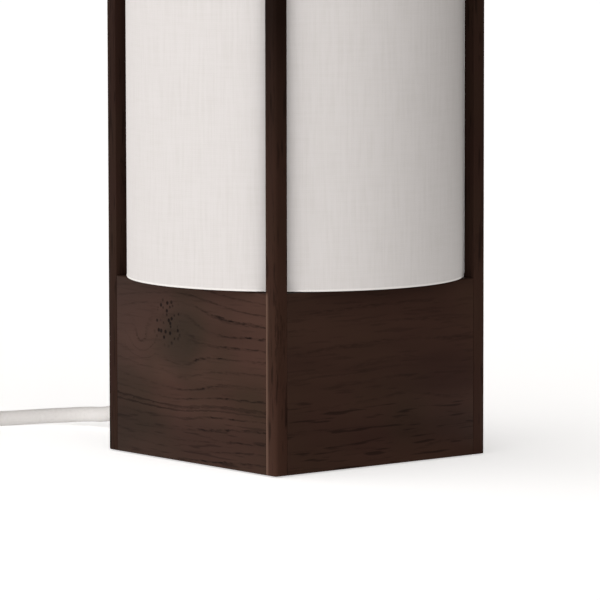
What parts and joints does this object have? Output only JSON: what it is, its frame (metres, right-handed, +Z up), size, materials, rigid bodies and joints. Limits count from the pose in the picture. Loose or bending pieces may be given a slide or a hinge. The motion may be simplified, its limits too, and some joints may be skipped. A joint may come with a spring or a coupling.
{
  "type": "andon table lamp",
  "caption": "Table lamp with a tall cloth drum shade standing on a dark oak box between slim corner posts, with a cloth-covered cord, hand switch and plug.",
  "frame": {"origin": "on the floor under the middle of the square base", "axes": "+Z up, X and Y along the faces of the base, the front face towards -Y, the cord leaves through the back panel at +Y"},
  "size_m": [0.3357, 0.2697, 0.43],
  "materials": {
    "dark_oak": "dark stained open-pore oak, matt",
    "plywood": "bare birch plywood",
    "linen": "off-white cloth laminated on a stiff sheet",
    "steel": "zinc plated",
    "cast_iron": "as cast",
    "felt": "dark grey felt",
    "brass": "plain",
    "porcelain": "glazed porcelain",
    "white_plastic": "white moulded",
    "aluminium": "satin",
    "opal_glass": "opal",
    "cloth_cord": "off-white braided cloth over the cable",
    "inner_sheath": "grey cable sheath"
  },
  "bodies": {
    "lamp": {"post_front_left": "dark_oak", "post_front_right": "dark_oak", "post_back_right": "dark_oak", "post_back_left": "dark_oak", "panel_front": "dark_oak", "panel_right": "dark_oak", "panel_back": "dark_oak", "panel_left": "dark_oak", "rail_front": "dark_oak", "rail_right": "dark_oak", "rail_back": "dark_oak", "rail_left": "dark_oak", "shade_drum": "linen", "shade_ring_lower": "steel", "shade_ring_upper": "steel", "corner_block_front_left": "plywood", "corner_block_front_right": "plywood", "corner_block_back_right": "plywood", "corner_block_back_left": "plywood", "deck_board": "plywood", "bottom_plate": "plywood", "ballast_plate": "cast_iron", "base_felt": "felt", "deck_screw_front_left": "steel", "deck_screw_front_right": "steel", "deck_screw_back_right": "steel", "deck_screw_back_left": "steel", "bottom_screw_front_left": "steel", "bottom_screw_front_right": "steel", "bottom_screw_back_right": "steel", "bottom_screw_back_left": "steel", "holder_nipple": "steel", "holder_washer": "steel", "holder_nut": "steel", "holder_cap": "white_plastic", "holder_sleeve": "white_plastic", "holder_insert": "porcelain", "holder_lead": "inner_sheath", "cord_gland": "white_plastic", "gland_nut": "white_plastic", "cord_to_switch": "cloth_cord", "cord_to_coil": "cloth_cord", "cord_coil": "cloth_cord", "cord_to_plug": "cloth_cord", "cord_tie": "felt", "switch_shell_lower": "white_plastic", "switch_shell_upper": "white_plastic", "switch_boot_in": "white_plastic", "switch_boot_out": "white_plastic", "plug_body": "white_plastic", "plug_boot": "white_plastic", "plug_pin_left": "brass", "plug_pin_right": "brass"},
    "bulb": {"bulb_cap": "aluminium", "bulb_glass": "opal_glass"},
    "rocker": {"switch_rocker": "white_plastic"}
  },
  "joints": [
    {"name": "bulb_turn", "type": "hinge", "parent": "lamp", "child": "bulb", "pos_m": [0, 0, 0.134], "axis": [0, 0, 1], "continuous": true},
    {"name": "rocker_tilt", "type": "hinge", "parent": "lamp", "child": "rocker", "pos_m": [-0.126, 0.176, 0.0146], "axis": [0, -1, 0], "range_deg": [0, 22]}
  ]
}
